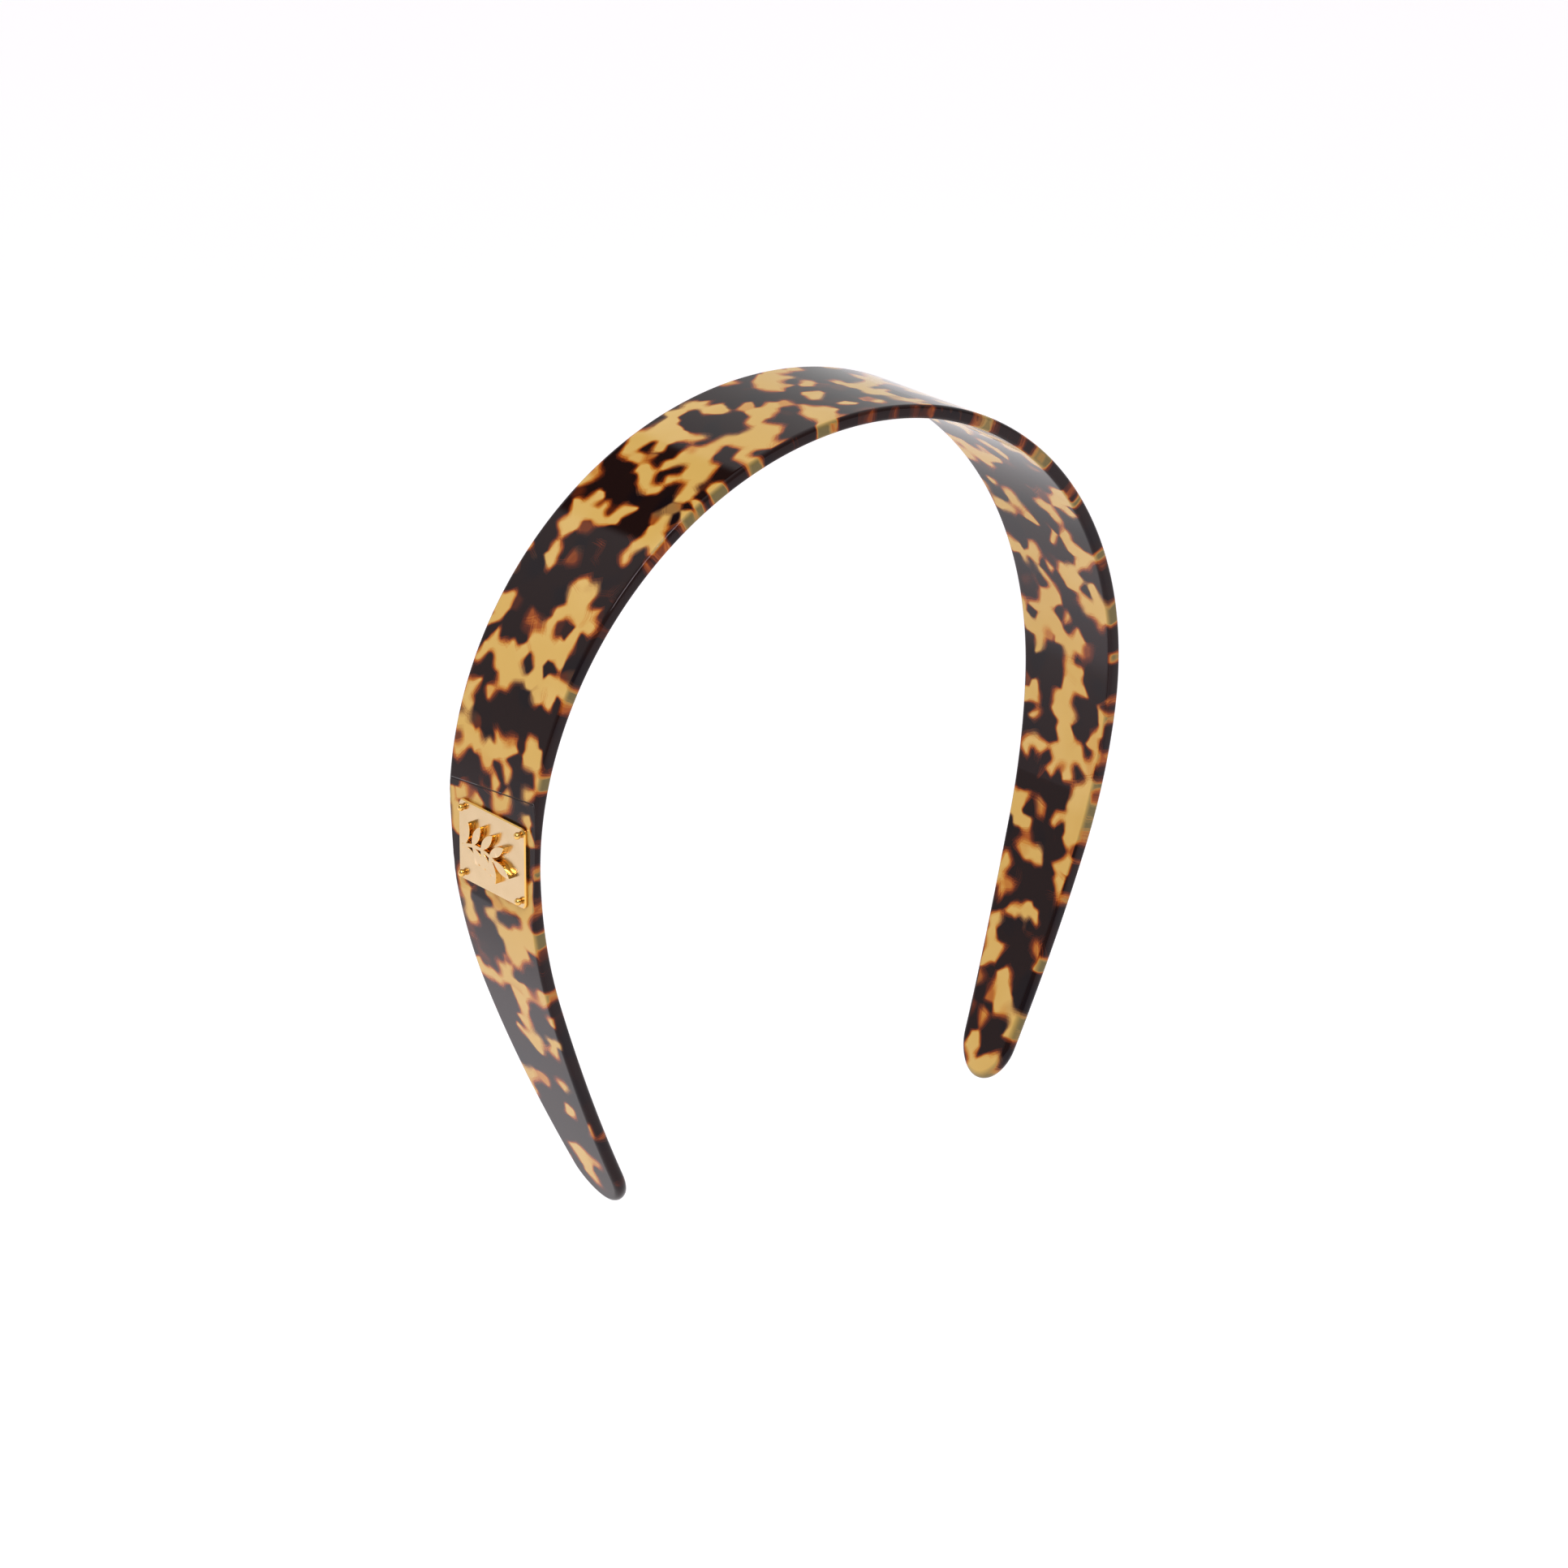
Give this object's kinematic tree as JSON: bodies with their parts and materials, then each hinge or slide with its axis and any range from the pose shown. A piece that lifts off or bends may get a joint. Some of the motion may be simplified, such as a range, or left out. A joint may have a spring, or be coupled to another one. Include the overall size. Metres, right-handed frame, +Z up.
{
  "type": "headband",
  "caption": "Wide tapered acetate headband bent to fit over the head, with rounded tips and a small pinned metal badge on one leg.",
  "frame": {"origin": "the middle of the band's inner face on top of the head", "axes": "+Z up out of the head, +Y towards the back of the head, +X towards the wearer's left"},
  "size_m": [0.1337, 0.03, 0.1394],
  "materials": {
    "tortoiseshell_acetate": "tumbled and polished tortoiseshell acetate, dark brown blotches in amber",
    "gold_plate": "pale gold plating, satin on the flats and polished on the edges",
    "adhesive": "clear, slightly cloudy film"
  },
  "bodies": {
    "right_half": {"right_half_band": "tortoiseshell_acetate", "badge_adhesive": "adhesive", "badge_plate": "gold_plate", "sprig_relief": "gold_plate", "pin_front_upper": "gold_plate", "pin_front_lower": "gold_plate", "pin_rear_upper": "gold_plate", "pin_rear_lower": "gold_plate"},
    "left_half": {"left_half_band": "tortoiseshell_acetate"}
  },
  "joints": [
    {"name": "crown_flex", "type": "hinge", "parent": "right_half", "child": "left_half", "pos_m": [0, 0, 0.0025], "axis": [0, -1, 0], "range_deg": [0, 18], "stiffness_Nm_per_rad": 0.44}
  ]
}
